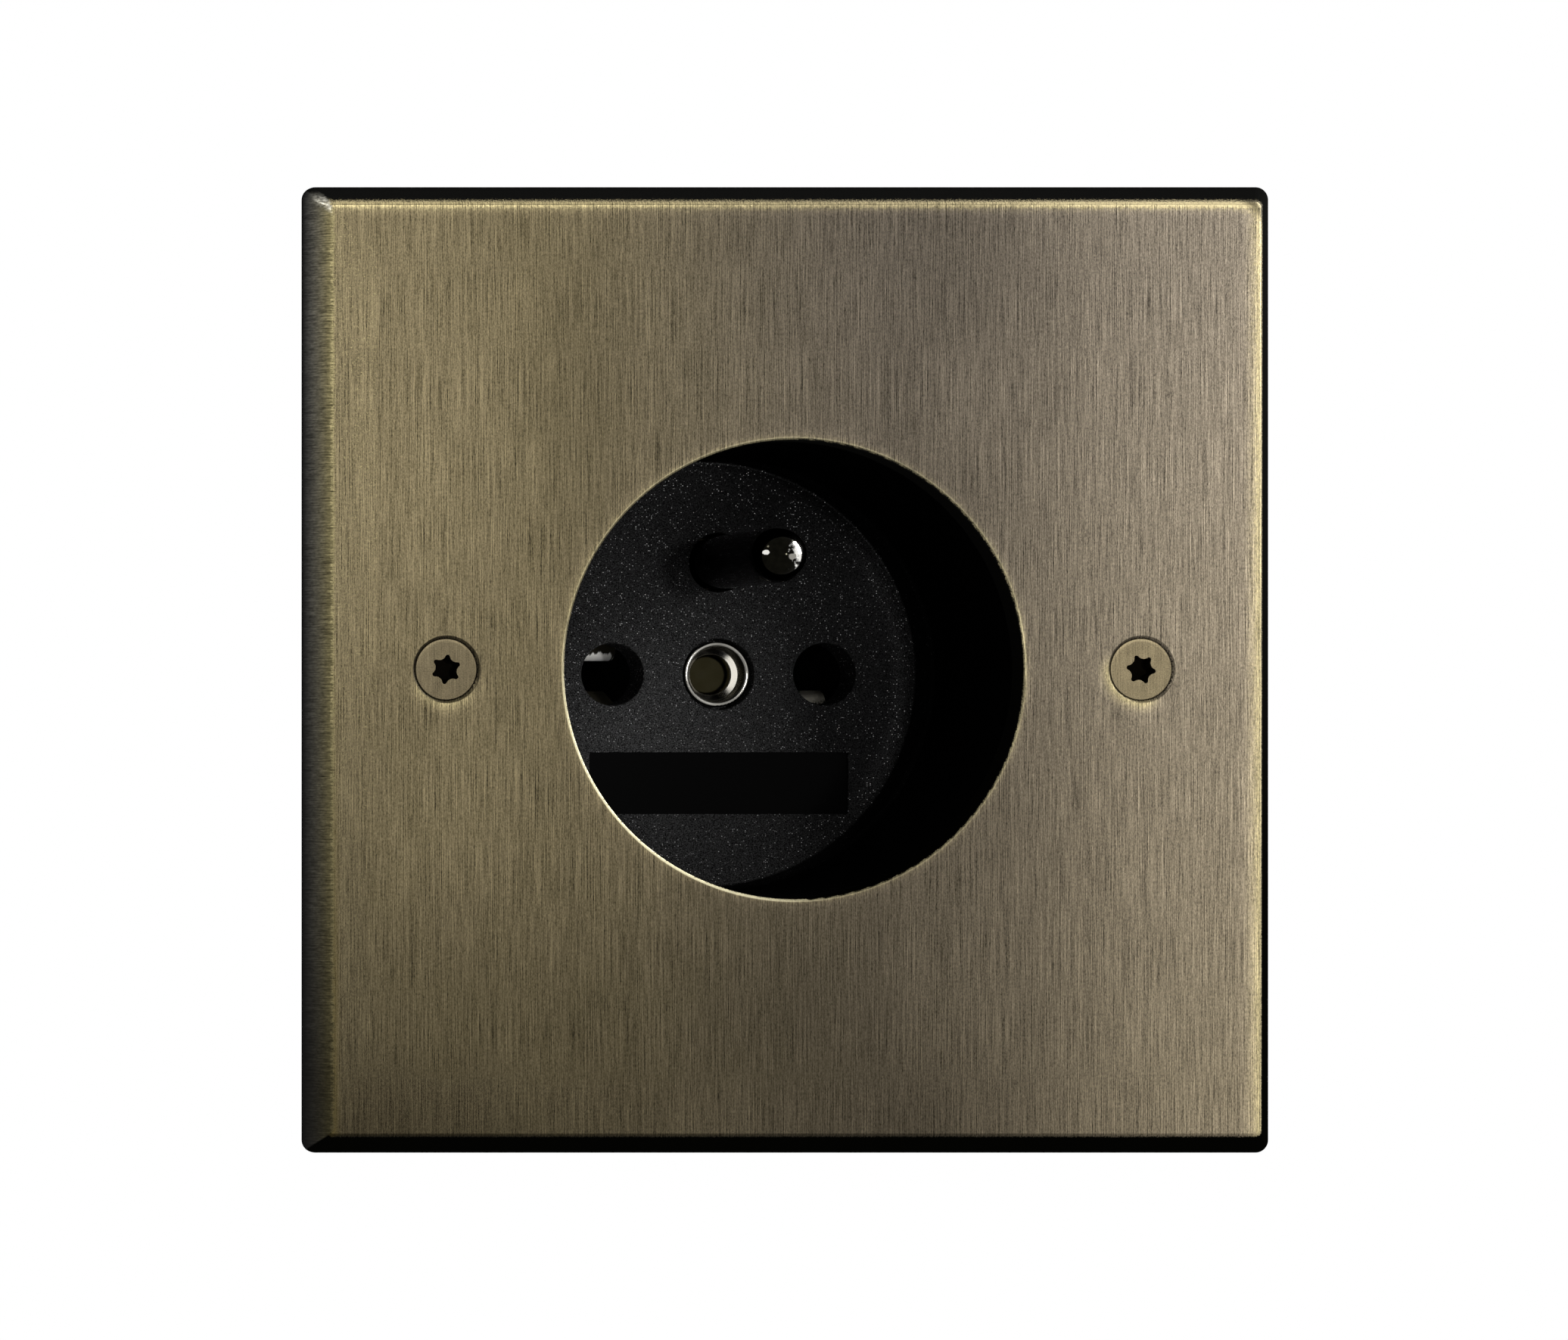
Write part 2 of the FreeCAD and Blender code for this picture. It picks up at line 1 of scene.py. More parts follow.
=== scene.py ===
# %% [markdown]
# # A wall socket behind a patinated brass plate
#
# The shapes come from the CAD model, which is loaded here as a fixed frame. X runs to the right,
# Z runs up, and Y runs from the room into the wall. The origin lies in the middle of the opening,
# on the surface of the wall. Blender adds what the CAD leaves out: the finishes, the fine screw
# threads, the light and the camera.

# %% Load the model
import bpy
import math
from mathutils import Matrix, Vector


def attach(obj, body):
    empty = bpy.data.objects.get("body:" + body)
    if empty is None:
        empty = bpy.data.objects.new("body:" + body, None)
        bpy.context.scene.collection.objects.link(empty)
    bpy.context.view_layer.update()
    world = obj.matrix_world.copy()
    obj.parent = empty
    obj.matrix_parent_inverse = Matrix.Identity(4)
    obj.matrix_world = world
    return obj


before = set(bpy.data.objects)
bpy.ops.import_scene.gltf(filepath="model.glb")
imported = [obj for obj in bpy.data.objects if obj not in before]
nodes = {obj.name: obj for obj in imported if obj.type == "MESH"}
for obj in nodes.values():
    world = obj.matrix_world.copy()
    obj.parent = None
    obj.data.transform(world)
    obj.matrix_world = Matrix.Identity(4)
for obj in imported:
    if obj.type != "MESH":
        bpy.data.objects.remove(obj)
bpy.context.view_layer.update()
scene = bpy.context.scene
MM = 0.001
print("pieces from the CAD:", len(nodes))

# %% [markdown]
# ## The camera
#
# The plate looks square and level in the picture, although the lens stands well to the left of it
# and a little below. Such a view is made with a lens that is shifted against the picture plane, or
# straightened afterwards. A shifted Blender camera would spoil every other view, so the camera
# keeps its plain settings and hangs under an empty whose link to it is skewed: the picture plane
# stays level with the wall, while the sight line runs back to the lens at an angle.

# %% Camera
# The direction from the object to the lens, then its distance and the width of the view in metres.
sight = Vector((-0.45, -1.0, -0.0288)).normalized()
lens_distance = 0.428
view_width = 0.1360

camera = bpy.data.objects.new("camera", bpy.data.cameras.new("camera"))
rig = bpy.data.objects.new("camera_rig", None)
for thing in (camera, rig):
    scene.collection.objects.link(thing)
camera.parent = rig
skew = Matrix(((1, 0, sight.x, 0), (0, 0, sight.y, 0), (0, 1, sight.z, 0), (0, 0, 0, 1)))
camera.matrix_parent_inverse = Matrix.Translation(sight * lens_distance) @ skew
camera.data.lens = camera.data.sensor_width * lens_distance / view_width
camera.data.clip_start = 0.01
scene.camera = camera
scene.view_settings.view_transform = "Standard"
print("lens", round(camera.data.lens, 1), "mm, from", round(lens_distance / MM), "mm away")

# %% [markdown]
# ## Tools for the finishes
#
# Every finish below is made of nodes. Three helpers are enough. The first turns a colour as it is
# written on screen into the linear values that the renderer counts in. The second adds any node,
# with its settings, its values and its links. The third starts a material, and gives it a place
# that counts in millimetres, so that the size of a pattern can be set as a real size.
#
# One kind of node needs a word. A Mix node that is set to RGBA reads its factor at place 0 and its
# colours at places 6 and 7, and it gives the mixed colour as output 2.

# %% Helpers


def colour(code):
    """The linear colour of an sRGB hex code."""
    parts = [int(code[i:i + 2], 16) / 255 for i in (1, 3, 5)]
    return [p / 12.92 if p <= 0.04045 else ((p + 0.055) / 1.055) ** 2.4 for p in parts] + [1.0]


def add(tree, kind, inputs=(), output=0, **settings):
    """Adds a node with its settings, fills or links its inputs, and gives back one output.

    The inputs are values or other nodes' outputs: in order, or under their names or places.
    """
    node = tree.nodes.new(kind)
    for name, value in settings.items():
        setattr(node, name, value)
    for name, value in inputs.items() if isinstance(inputs, dict) else enumerate(inputs):
        if isinstance(value, bpy.types.NodeSocket):
            tree.links.new(value, node.inputs[name])
        else:
            node.inputs[name].default_value = value
    return node.outputs[output] if node.outputs else node


def material(name, **values):
    """A new material, its tree, its shader, and the place on the object in millimetres."""
    made = bpy.data.materials.new(name)
    made.use_nodes = True
    tree = made.node_tree
    shader = tree.nodes["Principled BSDF"]
    for socket, value in values.items():
        shader.inputs[socket.replace("_", " ")].default_value = value
    where = add(tree, "ShaderNodeTexCoord", output="Object")
    place = add(tree, "ShaderNodeVectorMath", {0: where, "Scale": 1 / MM}, operation="SCALE")
    return made, tree, shader, place


print("helpers ready")

# %% [markdown]
# ## Light, background and floor
#
# The real thing was lit for a catalogue: a small lamp to the right of the lens throws the shadow of
# the earth pin, a soft box far to the right draws the bright edge on the pin's dome, and everything
# round it is white. The sky is white to the camera and to shiny surfaces, and weaker as a light, so
# that matt surfaces keep their depth. Two more soft boxes light the left side and the back.

# %% World
world = bpy.data.worlds.new("white_studio")
scene.world = world
world.use_nodes = True
sky = world.node_tree


def seen_directly(tree):
    """1 for a ray from the camera, off a shiny surface or through glass, else 0."""
    ray = add(tree, "ShaderNodeLightPath").node.outputs
    seen = ray["Is Camera Ray"]
    for other in ("Is Glossy Ray", "Is Transmission Ray"):
        seen = add(tree, "ShaderNodeMath", (seen, ray[other]), operation="MAXIMUM")
    return seen


sky_fill = 0.2
strength = add(sky, "ShaderNodeMapRange", (seen_directly(sky), 0, 1, sky_fill, 1))
background = sky.nodes["Background"]
background.inputs["Color"].default_value = (1, 1, 1, 1)
sky.links.new(strength, background.inputs["Strength"])
print("sky fill", sky_fill)

# %% Lamps


def lamp(name, direction, distance, width, height, power):
    """A soft box that looks at the origin."""
    light = bpy.data.lights.new(name, "AREA")
    light.shape = "RECTANGLE"
    light.size = width
    light.size_y = height
    light.energy = power
    made = bpy.data.objects.new(name, light)
    towards = Vector(direction).normalized()
    made.location = towards * distance
    made.rotation_euler = towards.to_track_quat("Z", "Y").to_euler()
    scene.collection.objects.link(made)
    print(name, [round(c, 2) for c in made.location], power, "W")


# The name, the direction it shines from, then distance, width and height in metres, and watts.
lamp("key_lamp", (0.23, -1.0, 0.065), 1.2, 0.10, 0.10, 5.5)
lamp("right_box", (1.0, -0.17, 0.5), 1.3, 0.6, 1.0, 24.0)
lamp("left_box", (-1.0, -0.5, 0.8), 1.3, 0.15, 0.15, 3.0)
lamp("rear_box", (-0.7, 1.0, 0.9), 1.4, 0.9, 0.9, 8.0)

# %% [markdown]
# The floor is a sheet of white paper well below the plate. Like the sky it is white to the camera,
# and near the object it lets a little of the shadow through. Its fibres are far too fine to show,
# so they are drawn as soft clouds of 4 mm.

# %% Floor
floor_half = 3.0  # metres
floor_height = -0.10
shadow_reach, paper_reach = 250.0, 420.0  # millimetres: where the shadow starts to fade, and where it ends
corners = [(side * floor_half, way * floor_half, floor_height)
           for side, way in ((-1, -1), (1, -1), (1, 1), (-1, 1))]
floor_mesh = bpy.data.meshes.new("floor")
floor_mesh.from_pydata(corners, [], [(0, 1, 2, 3)])
floor = bpy.data.objects.new("floor", floor_mesh)
scene.collection.objects.link(floor)

paper, tree, shader, place = material("white_backdrop_paper", Roughness=0.9)
fibres = add(tree, "ShaderNodeTexNoise", {"Vector": place, "Scale": 0.25})
tint = add(tree, "ShaderNodeMix", {0: fibres, 6: colour("#f0f0f0"), 7: colour("#f6f6f6")}, 2,
           data_type="RGBA")
tree.links.new(tint, shader.inputs["Base Color"])
reach = add(tree, "ShaderNodeVectorMath", (place,), "Value", operation="LENGTH")
share = add(tree, "ShaderNodeMapRange", (reach, shadow_reach, paper_reach, 0.8, 1))
share = add(tree, "ShaderNodeMath", (share, seen_directly(tree)), operation="MULTIPLY")
mixed = add(tree, "ShaderNodeMixShader", (share, shader.outputs[0], add(tree, "ShaderNodeEmission")))
tree.links.new(mixed, tree.nodes["Material Output"].inputs["Surface"])
floor.data.materials.append(paper)
print("floor at", floor_height / MM, "mm")

# %% [markdown]
# ## The plate: brass, brushed and patinated
#
# The plate is brass sheet. It was brushed upright with an abrasive belt, darkened in a bath that
# turns brass brown-black, and rubbed back, so that the high lines of the brushing shine through and
# the low ones stay dark. Rubbing takes most off the edges of the face and least off the slopes
# round it. To the eye that gives a dull gold with fine upright lines, pale edges and black slopes.
# Light and shade are painted into its colour too: the broad reflection of the studio on the face,
# highlights on the edges, on the rim and below the screws, and the dark that the slopes mirror.
# The finish is built up from numbers: how light the metal is, then the lines, then the colours.

# %% Patinated brass: broad tones, with the studio's reflection painted in
# The face of the plate, in millimetres: where it lies, half its width, and the radius of its opening.
face_y, face_half, opening_radius = -2.0, 40.25, 19.8
# Brightness runs from 0, black, to 1. The middle has a tone at half height and a rise per millimetre,
# the right adds another such pair, and the left adds a tone at its foot and one at its top. The rises
# and the tones at the sides are painted reflection of the studio: the face is painted brighter at the
# right and towards the top, and darker at the lower left.
middle_tone, middle_rise = 0.0335, 0.000162
right_tone, right_rise = 0.1057, -0.000108
left_low_tone, left_high_tone = -0.0039, 0.0119
drift_half = 0.006  # a soft cloud takes the tone up or down by this much
through = 50  # size of a pattern through the plate: so large that it doesn't change with depth
brass, tree, shader, place = material("brushed_patinated_brass", Roughness=0.35, Specular_IOR_Level=0.0)
x, y, z = add(tree, "ShaderNodeSeparateXYZ", (place,)).node.outputs

level = add(tree, "ShaderNodeMath", (z, middle_rise, middle_tone), operation="MULTIPLY_ADD")
right = add(tree, "ShaderNodeMapRange", (x, 10, 44, 0, 1), interpolation_type="SMOOTHSTEP")
right_amount = add(tree, "ShaderNodeMath", (z, right_rise, right_tone), operation="MULTIPLY_ADD")
left = add(tree, "ShaderNodeMapRange", (x, -6, -44, 0, 1), interpolation_type="SMOOTHSTEP")
left_amount = add(tree, "ShaderNodeMapRange", (z, -36, 44, left_low_tone, left_high_tone),
                  interpolation_type="SMOOTHSTEP")
scaled = add(tree, "ShaderNodeVectorMath", (place, (12, through, 30)), operation="DIVIDE")
cloud = add(tree, "ShaderNodeTexNoise", {"Vector": scaled, "Scale": 1})
drift = add(tree, "ShaderNodeMapRange", (cloud, 0, 1, -drift_half, drift_half))
for part, amount in ((right, right_amount), (left, left_amount), (drift, 1)):
    level = add(tree, "ShaderNodeMath", (part, amount, level), operation="MULTIPLY_ADD")

# A patch of painted reflection in each row, lighter or darker: its middle, its size, how much paler it is.
patches = (
    ((14, 0, -28), (6, through, 16), 0.28),
    ((-4, 0, -28), (8, through, 11), -0.18),
    ((-24, 0, -15), (13, through, 12), 0.22),
    ((-33, 0, -41), (16, through, 7), -0.28),
    ((-19, 0, 24), (5, through, 15), -0.16),
    ((14, 0, 23), (5, through, 7), 0.20))
for middle, size, paler in patches:
    offset = add(tree, "ShaderNodeVectorMath", (place, middle), operation="SUBTRACT")
    offset = add(tree, "ShaderNodeVectorMath", (offset, size), operation="DIVIDE")
    reach = add(tree, "ShaderNodeVectorMath", (offset,), "Value", operation="LENGTH")
    share = add(tree, "ShaderNodeMapRange", (reach, 1.3, 0.2, 0, paler), interpolation_type="SMOOTHSTEP")
    level = add(tree, "ShaderNodeMath", (level, share, level), operation="MULTIPLY_ADD")
print("broad tones, and", len(patches), "patches")

# %% Patinated brass: the brush lines
# Each row is a layer of noise: its size across, through and along the plate, and its strength. Grit
# 180 leaves lines 0.05 to 0.1 mm wide, so they are drawn as wide as they are, or slightly wider. The
# layers differ in how far a line runs, and the last one is the grain of the bath.
brushing = (
    ((0.09, through, 40), 0.60),
    ((0.07, through, 7), 1.30),
    ((0.08, through, 2.5), 0.80),
    ((0.10, through, 0.6), 0.60),
    ((0.12, through, 0.22), 0.85))
darkest_line = 0.15
lines = 1.0
for size, amount in brushing:
    scaled = add(tree, "ShaderNodeVectorMath", (place, size), operation="DIVIDE")
    noise = add(tree, "ShaderNodeTexNoise", {"Vector": scaled, "Scale": 1, "Detail": 2, "Roughness": 0.6})
    swing = add(tree, "ShaderNodeMapRange", (noise, 0, 1, -amount, amount))
    lines = add(tree, "ShaderNodeMath", (lines, swing), operation="ADD")
lines = add(tree, "ShaderNodeMath", (lines, darkest_line), operation="MAXIMUM")
print("brush lines:", len(brushing), "sizes")

# %% Patinated brass: the pale edges
# The top and the right edge of the face, and the rim of the opening, are paler than the rest, within
# one to three millimetres of them: rubbed paler, and painted brighter as the highlight these edges catch.
outward = add(tree, "ShaderNodeCombineXYZ", (x, 0, z))
away = add(tree, "ShaderNodeVectorMath", (outward,), "Value", operation="LENGTH")
scaled = add(tree, "ShaderNodeVectorMath", (place, (0.3, through, 0.3)), operation="DIVIDE")
ragged = add(tree, "ShaderNodeTexNoise", {"Vector": scaled, "Scale": 1})
ragged = add(tree, "ShaderNodeMapRange", (ragged, 0, 1, -0.5, 0.5))
# How strong the painted highlight on the rim is: strongest at the bottom.
painted_rim_line = add(tree, "ShaderNodeMapRange", (z, -opening_radius, opening_radius, 1.5, 0.7))

# Each row is an edge: the distance that counts, where the paling starts and where it is full, how
# strong it is there, and how ragged. The top edge and the rim have a narrow painted highlight as well.
edge_rows = (
    (z, face_half - 1.65, face_half + 0.05, 2.0, 1.0),
    (z, face_half - 0.7, face_half - 0.05, 4.5, 0.3),
    (x, face_half - 2.6, face_half + 0.1, 1.8, 1.0),
    (away, opening_radius + 3.0, opening_radius, 0.12, 1.0),
    (away, opening_radius + 1.3, opening_radius, 0.8, 1.0),
    (away, opening_radius + 0.5, opening_radius + 0.1, painted_rim_line, 0.1))
edges = 1.0
for distance, start, end, amount, wander in edge_rows:
    rough = add(tree, "ShaderNodeMath", (ragged, wander, distance), operation="MULTIPLY_ADD")
    near = add(tree, "ShaderNodeMapRange", (rough, start, end, 0, 1))
    near = add(tree, "ShaderNodeMath", (near, 3), operation="POWER")
    edges = add(tree, "ShaderNodeMath", (near, amount, edges), operation="MULTIPLY_ADD")
print("pale edges:", len(edge_rows), "rows")

# %% Patinated brass: the painted highlights below the screws
# The plate stands a hair above each screw, and the rim of the countersink below it is painted with a
# pale crescent, the highlight that it catches. The crescent hangs straight below the left screw, and
# further to the left below the right one.
screw_x = 30
side = add(tree, "ShaderNodeMath", (x,), operation="SIGN")
from_screw = add(tree, "ShaderNodeMath", (side, -screw_x, x), operation="MULTIPLY_ADD")
flat = add(tree, "ShaderNodeCombineXYZ", (from_screw, 0, z))
screw_away = add(tree, "ShaderNodeVectorMath", (flat,), "Value", operation="LENGTH")
unit = add(tree, "ShaderNodeVectorMath", (flat,), operation="NORMALIZE")
lean = add(tree, "ShaderNodeMapRange", (side, -1, 1, -0.1, -0.75))
downward = add(tree, "ShaderNodeCombineXYZ", (lean, 0, -0.85))
below = add(tree, "ShaderNodeVectorMath", (unit, downward), "Value", operation="DOT_PRODUCT")
below = add(tree, "ShaderNodeMapRange", (below, 0.1, 0.9, 0, 1), interpolation_type="SMOOTHSTEP")
near = add(tree, "ShaderNodeMapRange", (screw_away, 4.4, 3.0, 0, 1))
near = add(tree, "ShaderNodeMath", (near, 2), operation="POWER")
painted_crescent = add(tree, "ShaderNodeMath", (near, below), operation="MULTIPLY")
edges = add(tree, "ShaderNodeMath", (painted_crescent, 1.3, edges), operation="MULTIPLY_ADD")
print("crescents below the screws,", screw_x, "mm to either side")

# %% Patinated brass: how light it is in all
# Nothing gets paler than bare brass, and where both edges meet at the top right, a painted shade damps the
# lamp's highlight.
palest = 0.46
for factor in (lines, edges):
    level = add(tree, "ShaderNodeMath", (level, factor), operation="MULTIPLY")
level = add(tree, "ShaderNodeMath", (level, palest), operation="MINIMUM")
painted_corner_shade = add(tree, "ShaderNodeMath", (x, z), operation="ADD")
painted_corner_shade = add(tree, "ShaderNodeMapRange", (painted_corner_shade, 2 * face_half - 1.8, 2 * face_half - 0.9, 1, 0.3))
level = add(tree, "ShaderNodeMath", (level, painted_corner_shade), operation="MULTIPLY")
print("no paler than", palest)

# %% Patinated brass: its colours
# The bath leaves the left half yellower. The pale edges are yellow too, since bare brass and their
# painted highlight show there, and along the lower half of the face's left edge lies a dark olive painted
# shade.
yellow = add(tree, "ShaderNodeMapRange", (x, -24, 10, 0, 1), interpolation_type="SMOOTHSTEP")
height = add(tree, "ShaderNodeMapRange", (z, -35, 35, 0, 1))
pale = add(tree, "ShaderNodeMix", {0: height, 6: colour("#ffeac3"), 7: colour("#ffecd0")}, 2,
           data_type="RGBA")
warm = add(tree, "ShaderNodeMix", {0: yellow, 6: colour("#ffe9b4"), 7: pale}, 2, data_type="RGBA")
worn_and_lit_edge = add(tree, "ShaderNodeMapRange", (edges, 1.1, 2.2, 0, 0.8))
warm = add(tree, "ShaderNodeMix", {0: worn_and_lit_edge, 6: warm, 7: colour("#ffecb0")}, 2, data_type="RGBA")
face = add(tree, "ShaderNodeVectorMath", {0: warm, "Scale": level}, operation="SCALE")
painted_left_edge_shade = add(tree, "ShaderNodeMapRange", (x, -39.0, -39.9, 0, 1), interpolation_type="SMOOTHSTEP")
painted_left_edge_shade_amount = add(tree, "ShaderNodeMapRange", (z, 5, -30, 0, 0.7))
painted_left_edge_shade = add(tree, "ShaderNodeMath", (painted_left_edge_shade, painted_left_edge_shade_amount), operation="MULTIPLY")
face = add(tree, "ShaderNodeMix", {0: painted_left_edge_shade, 6: face, 7: colour("#2e2815")}, 2, data_type="RGBA")
print("colours set")

# %% Patinated brass: bare metal and a painted highlight on the rim
# The sharp rim of the opening is rubbed through to the brass, and a painted highlight makes it brightest at
# the lower left.
around = add(tree, "ShaderNodeVectorMath", (outward,), operation="NORMALIZE")
lower_left = (-math.sqrt(0.5), 0, -math.sqrt(0.5))
towards = add(tree, "ShaderNodeVectorMath", (around, lower_left), "Value", operation="DOT_PRODUCT")
lower_left_highlight = add(tree, "ShaderNodeMapRange", (towards, 0.5, 1, 0.12, 1), interpolation_type="SMOOTHSTEP")
# The rim's bare brass, with its painted highlight.
bare = add(tree, "ShaderNodeMapRange", (away, opening_radius + 0.32, opening_radius + 0.14, 0, 1))
bare = add(tree, "ShaderNodeMath", (bare, lower_left_highlight), operation="MULTIPLY")
face = add(tree, "ShaderNodeMix", {0: bare, 6: face, 7: colour("#aea78a")}, 2, data_type="RGBA")
print("rim of radius", opening_radius, "mm rubbed bare")

# %% Patinated brass: the slopes
# The slopes are painted black: the bath's crust, and also the dark that they mirror, painted a little
# lighter towards the top. The left one is brushed across, and painted grey as a sheen, lighter towards
# the face and towards the top. They are taken from how deep a point lies, and the left one from lying
# nearer to the left side than to the top or the bottom. They end at slope_foot, just in front of the
# wall, and the left one begins somewhere to the left of slope_inside.
slope_foot, slope_inside = -0.25, -36
depth = add(tree, "ShaderNodeMapRange", (y, slope_foot, face_y, 0, 1))
height = add(tree, "ShaderNodeMapRange", (z, -36, 28, 0.12, 1))
grey = add(tree, "ShaderNodeMath", (depth, height), operation="MULTIPLY")
for size, amount in (((1.2, 1.2, 0.09), 1.3), ((0.3, 0.3, 0.14), 0.8)):
    scaled = add(tree, "ShaderNodeVectorMath", (place, size), operation="DIVIDE")
    noise = add(tree, "ShaderNodeTexNoise", {"Vector": scaled, "Scale": 1, "Detail": 2})
    swing = add(tree, "ShaderNodeMapRange", (noise, 0, 1, 1 - amount, 1 + amount))
    grey = add(tree, "ShaderNodeMath", (grey, swing), operation="MULTIPLY")
grey = add(tree, "ShaderNodeMath", (grey, 0.172, 0.007), operation="MULTIPLY_ADD")
cast = add(tree, "ShaderNodeMix", {0: depth, 6: colour("#ffffff"), 7: colour("#ffeeae")}, 2, data_type="RGBA")
brushed = add(tree, "ShaderNodeVectorMath", {0: cast, "Scale": grey}, operation="SCALE")
height_either_way = add(tree, "ShaderNodeMath", (z,), operation="ABSOLUTE")
beside = add(tree, "ShaderNodeMath", (height_either_way, x), operation="ADD")
on_left = add(tree, "ShaderNodeMapRange", (beside, 0.1, -0.1, 0, 1))
outside = add(tree, "ShaderNodeMath", (x, slope_inside), operation="LESS_THAN")
on_left = add(tree, "ShaderNodeMath", (on_left, outside), operation="MULTIPLY")
left_edge = add(tree, "ShaderNodeMath", (noise, 0.8, x), operation="MULTIPLY_ADD")
left_edge = add(tree, "ShaderNodeMapRange", (left_edge, -39.15, -39.65, 0, 1),
                interpolation_type="SMOOTHSTEP")
left_edge = add(tree, "ShaderNodeMath", (left_edge, on_left), operation="MULTIPLY")
height = add(tree, "ShaderNodeMapRange", (z, -20, 40, 0, 1))
# The painted black is lighter towards the top.
black = add(tree, "ShaderNodeMix", {0: height, 6: colour("#030302"), 7: colour("#0f0f0e")}, 2,
            data_type="RGBA")
slope = add(tree, "ShaderNodeMix", {0: on_left, 6: black, 7: brushed}, 2, data_type="RGBA")
print("slopes set")

# %% Patinated brass: where the face ends
# The black begins with a ragged fringe just below the face: narrow in the opening, and wider along
# the top of the plate than along its foot.
in_opening = add(tree, "ShaderNodeMath", (away, opening_radius + 1), operation="LESS_THAN")
fade = add(tree, "ShaderNodeMapRange", (z, -40, 40, 0.16, 0.44))
fade = add(tree, "ShaderNodeMapRange", (in_opening, 0, 1, fade, 0.12))
scaled = add(tree, "ShaderNodeVectorMath", (place, (0.12, 0.12, 0.12)), operation="DIVIDE")
fringe = add(tree, "ShaderNodeTexNoise", {"Vector": scaled, "Scale": 1})
fringe = add(tree, "ShaderNodeMapRange", (fringe, 0.3, 0.7, -0.4, 0.4))
fringe = add(tree, "ShaderNodeMath", (fringe, fade, y), operation="MULTIPLY_ADD")
fade = add(tree, "ShaderNodeMath", (fade, face_y), operation="ADD")
sunk = add(tree, "ShaderNodeMapRange", (fringe, face_y + 0.02, fade, 0, 1), interpolation_type="SMOOTHSTEP")
sunk = add(tree, "ShaderNodeMath", (sunk, left_edge), operation="MAXIMUM")

# The back of the plate lies deep too, but it was brushed, so only what faces the room is meant.
facing = add(tree, "ShaderNodeTexCoord", output="Normal")
facing_back = add(tree, "ShaderNodeSeparateXYZ", (facing,), "Y")
front = add(tree, "ShaderNodeMath", (facing_back, 0.3), operation="LESS_THAN")
sunk = add(tree, "ShaderNodeMath", (sunk, front), operation="MULTIPLY")
face = add(tree, "ShaderNodeMix", {0: sunk, 6: face, 7: slope}, 2, data_type="RGBA")
print("face and slopes joined")

# %% Patinated brass: the painted highlight on the mitre
# Where the left slope meets the top one, the corner has a painted highlight of bare metal, in specks.
off_mitre = add(tree, "ShaderNodeMath", (x, z), operation="ADD")
off_mitre = add(tree, "ShaderNodeMath", (off_mitre,), operation="ABSOLUTE")
off_mitre = add(tree, "ShaderNodeMath", (ragged, 0.6, off_mitre), operation="MULTIPLY_ADD")
painted_light_share = add(tree, "ShaderNodeMapRange", (off_mitre, 0.9, 0.1, 0, 1), interpolation_type="SMOOTHSTEP")
specks = add(tree, "ShaderNodeMapRange", (noise, 0.35, 0.65, 0.15, 0.85))
above_foot = add(tree, "ShaderNodeMapRange", (depth, 0.1, 0.9, 0, 1), interpolation_type="SMOOTHSTEP")
off_face = add(tree, "ShaderNodeMapRange", (x, -39.8, -40.2, 0, 1), interpolation_type="SMOOTHSTEP")
for part in (above_foot, off_face, specks):
    painted_light_share = add(tree, "ShaderNodeMath", (painted_light_share, part), operation="MULTIPLY")
face = add(tree, "ShaderNodeMix", {0: painted_light_share, 6: face, 7: colour("#d9d5c6")}, 2, data_type="RGBA")

# The black is painted as a crust that is not metal, so it mirrors nothing and stays dark.
metallic = add(tree, "ShaderNodeMath", (1, sunk), operation="SUBTRACT")
metallic = add(tree, "ShaderNodeMath", (metallic, painted_light_share), operation="MAXIMUM")
tree.links.new(face, shader.inputs["Base Color"])
tree.links.new(metallic, shader.inputs["Metallic"])
bump = add(tree, "ShaderNodeBump", {"Height": lines, "Strength": 0.15, "Distance": 0.02 * MM})
tree.links.new(bump, shader.inputs["Normal"])
print(brass.name, "nodes", len(tree.nodes))

# %% [markdown]
# ## The plate screws
#
# They are brass too, and went through the same bath after their heads were brushed. Their finish
# is closer-grained than the plate's. The six-lobe recess and the cone under the head stay black from
# the bath, and are painted black as shade as well. The rim of the head has a pale painted highlight
# above.

# %% Darkened screw brass
# The heads lie a hair below the face of the plate, and the left one is painted darker than the right one, as
# shade.
head_y, left_tone, right_tone = -1.95, 0.072, 0.178
screws, tree, shader, place = material("brushed_darkened_screw_brass", Roughness=0.4, Specular_IOR_Level=0.0)
x, y, z = add(tree, "ShaderNodeSeparateXYZ", (place,)).node.outputs
side = add(tree, "ShaderNodeMath", (x,), operation="SIGN")
from_screw = add(tree, "ShaderNodeMath", (side, -screw_x, x), operation="MULTIPLY_ADD")
flat = add(tree, "ShaderNodeCombineXYZ", (from_screw, 0, z))
away = add(tree, "ShaderNodeVectorMath", (flat,), "Value", operation="LENGTH")
level = add(tree, "ShaderNodeMapRange", (side, -1, 1, left_tone, right_tone))

# The lines of the brush, the grain of the bath, and a soft cloud.
lines = 1.0
for size, amount in (((0.055, through, 2.5), 0.6), ((0.10, through, 0.12), 0.6), ((1.2, through, 1.2), 0.25)):
    scaled = add(tree, "ShaderNodeVectorMath", (place, size), operation="DIVIDE")
    noise = add(tree, "ShaderNodeTexNoise", {"Vector": scaled, "Scale": 1, "Detail": 1})
    swing = add(tree, "ShaderNodeMapRange", (noise, 0, 1, -amount, amount))
    lines = add(tree, "ShaderNodeMath", (lines, swing), operation="ADD")
